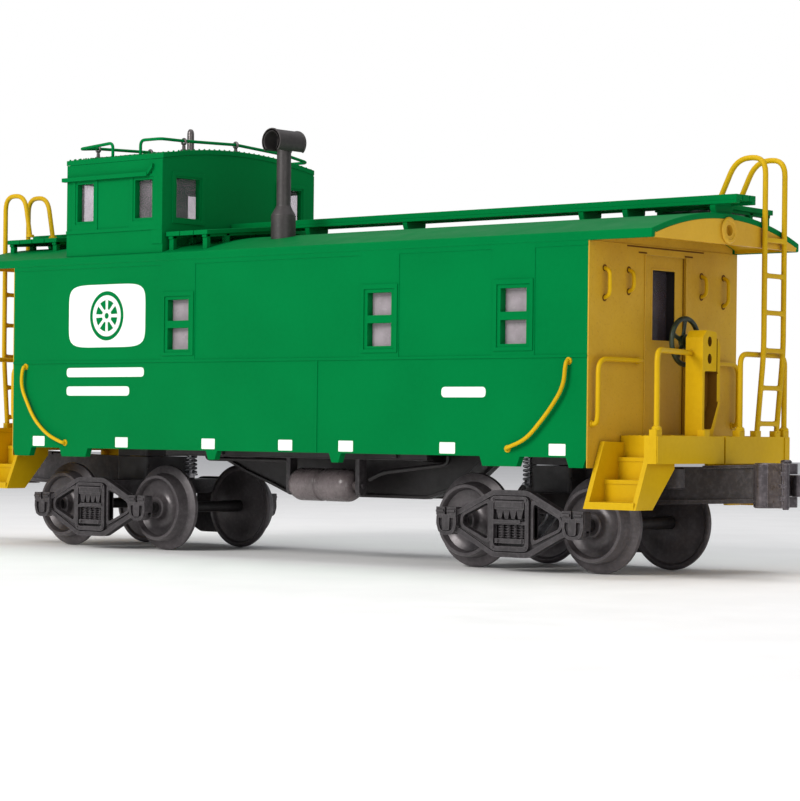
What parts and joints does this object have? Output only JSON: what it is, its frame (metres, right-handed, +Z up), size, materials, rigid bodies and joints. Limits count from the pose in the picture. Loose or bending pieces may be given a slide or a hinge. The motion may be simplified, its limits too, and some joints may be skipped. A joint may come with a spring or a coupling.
{
  "type": "model railway caboose",
  "caption": "O gauge model of a steel caboose with an off-centre cupola, end platforms, swivelling trucks, rolling wheelsets and opening knuckle couplers.",
  "frame": {"origin": "middle of the car's length and width, level with the lowest points of the wheel flanges; the rail tops are 2.45 mm above it", "axes": "+X along the car towards the end farther from the cupola, called the front; +Y to the car's left; +Z up"},
  "size_m": [0.2784, 0.0632, 0.1153],
  "materials": {
    "body_green": "semi-gloss",
    "safety_yellow": "semi-gloss",
    "frame_black": "satin",
    "tank_grey": "satin",
    "stack_grey": "satin",
    "window_glazing": "frosted",
    "lamp_glass": "clear",
    "wheel_green": "semi-gloss",
    "truck_casting": "satin",
    "wheel_metal": "satin",
    "bright_steel": "bright"
  },
  "bodies": {
    "car_body": {"body_shell": "body_green", "roof_shell": "body_green", "cupola_shell": "body_green", "cupola_roof": "body_green", "chassis_floor": "frame_black", "roofwalk_front": "body_green", "roofwalk_rear": "body_green", "smokejack": "stack_grey", "air_tank": "tank_grey", "lamp_bulb": "lamp_glass", "side_glazing_right": "window_glazing", "side_glazing_left": "window_glazing", "cupola_glazing": "window_glazing", "cupola_rail_front": "body_green", "cupola_rail_rear": "body_green", "side_grab_front_right": "safety_yellow", "side_grab_front_left": "safety_yellow", "side_grab_rear_right": "safety_yellow", "side_grab_rear_left": "safety_yellow", "door_glazing_front": "window_glazing", "platform_front": "safety_yellow", "railing_front_right": "safety_yellow", "railing_front_left": "safety_yellow", "ladder_front": "safety_yellow", "brake_stand_front": "safety_yellow", "pivot_screw_front": "bright_steel", "door_glazing_rear": "window_glazing", "platform_rear": "safety_yellow", "railing_rear_right": "safety_yellow", "railing_rear_left": "safety_yellow", "ladder_rear": "safety_yellow", "brake_stand_rear": "safety_yellow", "pivot_screw_rear": "bright_steel"},
    "brake_wheel_front_body": {"brake_wheel_front": "wheel_green"},
    "truck_front": {"truck_bolster_front": "truck_casting", "side_frame_front_left": "truck_casting", "side_frame_front_right": "truck_casting", "knuckle_pin_front": "bright_steel"},
    "knuckle_front_body": {"knuckle_front": "truck_casting"},
    "wheelset_front_outer": {"axle_front_outer": "bright_steel", "wheel_front_outer_left": "wheel_metal", "wheel_front_outer_right": "wheel_metal"},
    "wheelset_front_inner": {"axle_front_inner": "bright_steel", "wheel_front_inner_left": "wheel_metal", "wheel_front_inner_right": "wheel_metal"},
    "brake_wheel_rear_body": {"brake_wheel_rear": "wheel_green"},
    "truck_rear": {"truck_bolster_rear": "truck_casting", "side_frame_rear_left": "truck_casting", "side_frame_rear_right": "truck_casting", "knuckle_pin_rear": "bright_steel"},
    "knuckle_rear_body": {"knuckle_rear": "truck_casting"},
    "wheelset_rear_outer": {"axle_rear_outer": "bright_steel", "wheel_rear_outer_left": "wheel_metal", "wheel_rear_outer_right": "wheel_metal"},
    "wheelset_rear_inner": {"axle_rear_inner": "bright_steel", "wheel_rear_inner_left": "wheel_metal", "wheel_rear_inner_right": "wheel_metal"},
    "pickup_arm_body": {"pickup_arm": "bright_steel"},
    "pickup_roller_body": {"pickup_roller": "bright_steel"}
  },
  "joints": [
    {"name": "brake_wheel_front_turn", "type": "hinge", "parent": "car_body", "child": "brake_wheel_front_body", "pos_m": [0.1052, 0, 0.05455], "axis": [1, 0, 0], "continuous": true},
    {"name": "truck_front_swivel", "type": "hinge", "parent": "car_body", "child": "truck_front", "pos_m": [0.073, 0, 0.02495], "axis": [0, 0, 1], "range_deg": [-14, 14]},
    {"name": "knuckle_front_open", "type": "hinge", "parent": "truck_front", "child": "knuckle_front_body", "pos_m": [0.1312, 0.0034, 0.02145], "axis": [0, 0, 1], "range_deg": [0, 40]},
    {"name": "wheelset_front_outer_roll", "type": "hinge", "parent": "truck_front", "child": "wheelset_front_outer", "pos_m": [0.092, 0, 0.0115], "axis": [0, 1, 0], "continuous": true},
    {"name": "wheelset_front_inner_roll", "type": "hinge", "parent": "truck_front", "child": "wheelset_front_inner", "pos_m": [0.054, 0, 0.0115], "axis": [0, 1, 0], "continuous": true},
    {"name": "brake_wheel_rear_turn", "type": "hinge", "parent": "car_body", "child": "brake_wheel_rear_body", "pos_m": [-0.1052, 0, 0.05455], "axis": [1, 0, 0], "continuous": true},
    {"name": "truck_rear_swivel", "type": "hinge", "parent": "car_body", "child": "truck_rear", "pos_m": [-0.073, 0, 0.02495], "axis": [0, 0, 1], "range_deg": [-14, 14]},
    {"name": "knuckle_rear_open", "type": "hinge", "parent": "truck_rear", "child": "knuckle_rear_body", "pos_m": [-0.1312, -0.0034, 0.02145], "axis": [0, 0, 1], "range_deg": [0, 40]},
    {"name": "wheelset_rear_outer_roll", "type": "hinge", "parent": "truck_rear", "child": "wheelset_rear_outer", "pos_m": [-0.092, 0, 0.0115], "axis": [0, 1, 0], "continuous": true},
    {"name": "wheelset_rear_inner_roll", "type": "hinge", "parent": "truck_rear", "child": "wheelset_rear_inner", "pos_m": [-0.054, 0, 0.0115], "axis": [0, 1, 0], "continuous": true},
    {"name": "pickup_arm_lift", "type": "hinge", "parent": "truck_front", "child": "pickup_arm_body", "pos_m": [0.0656, 0, 0.01425], "axis": [0, 1, 0], "range_deg": [-6, 8]},
    {"name": "pickup_roller_spin", "type": "hinge", "parent": "pickup_arm_body", "child": "pickup_roller_body", "pos_m": [0.0576, 0, 0.0055], "axis": [0, 1, 0], "continuous": true}
  ]
}
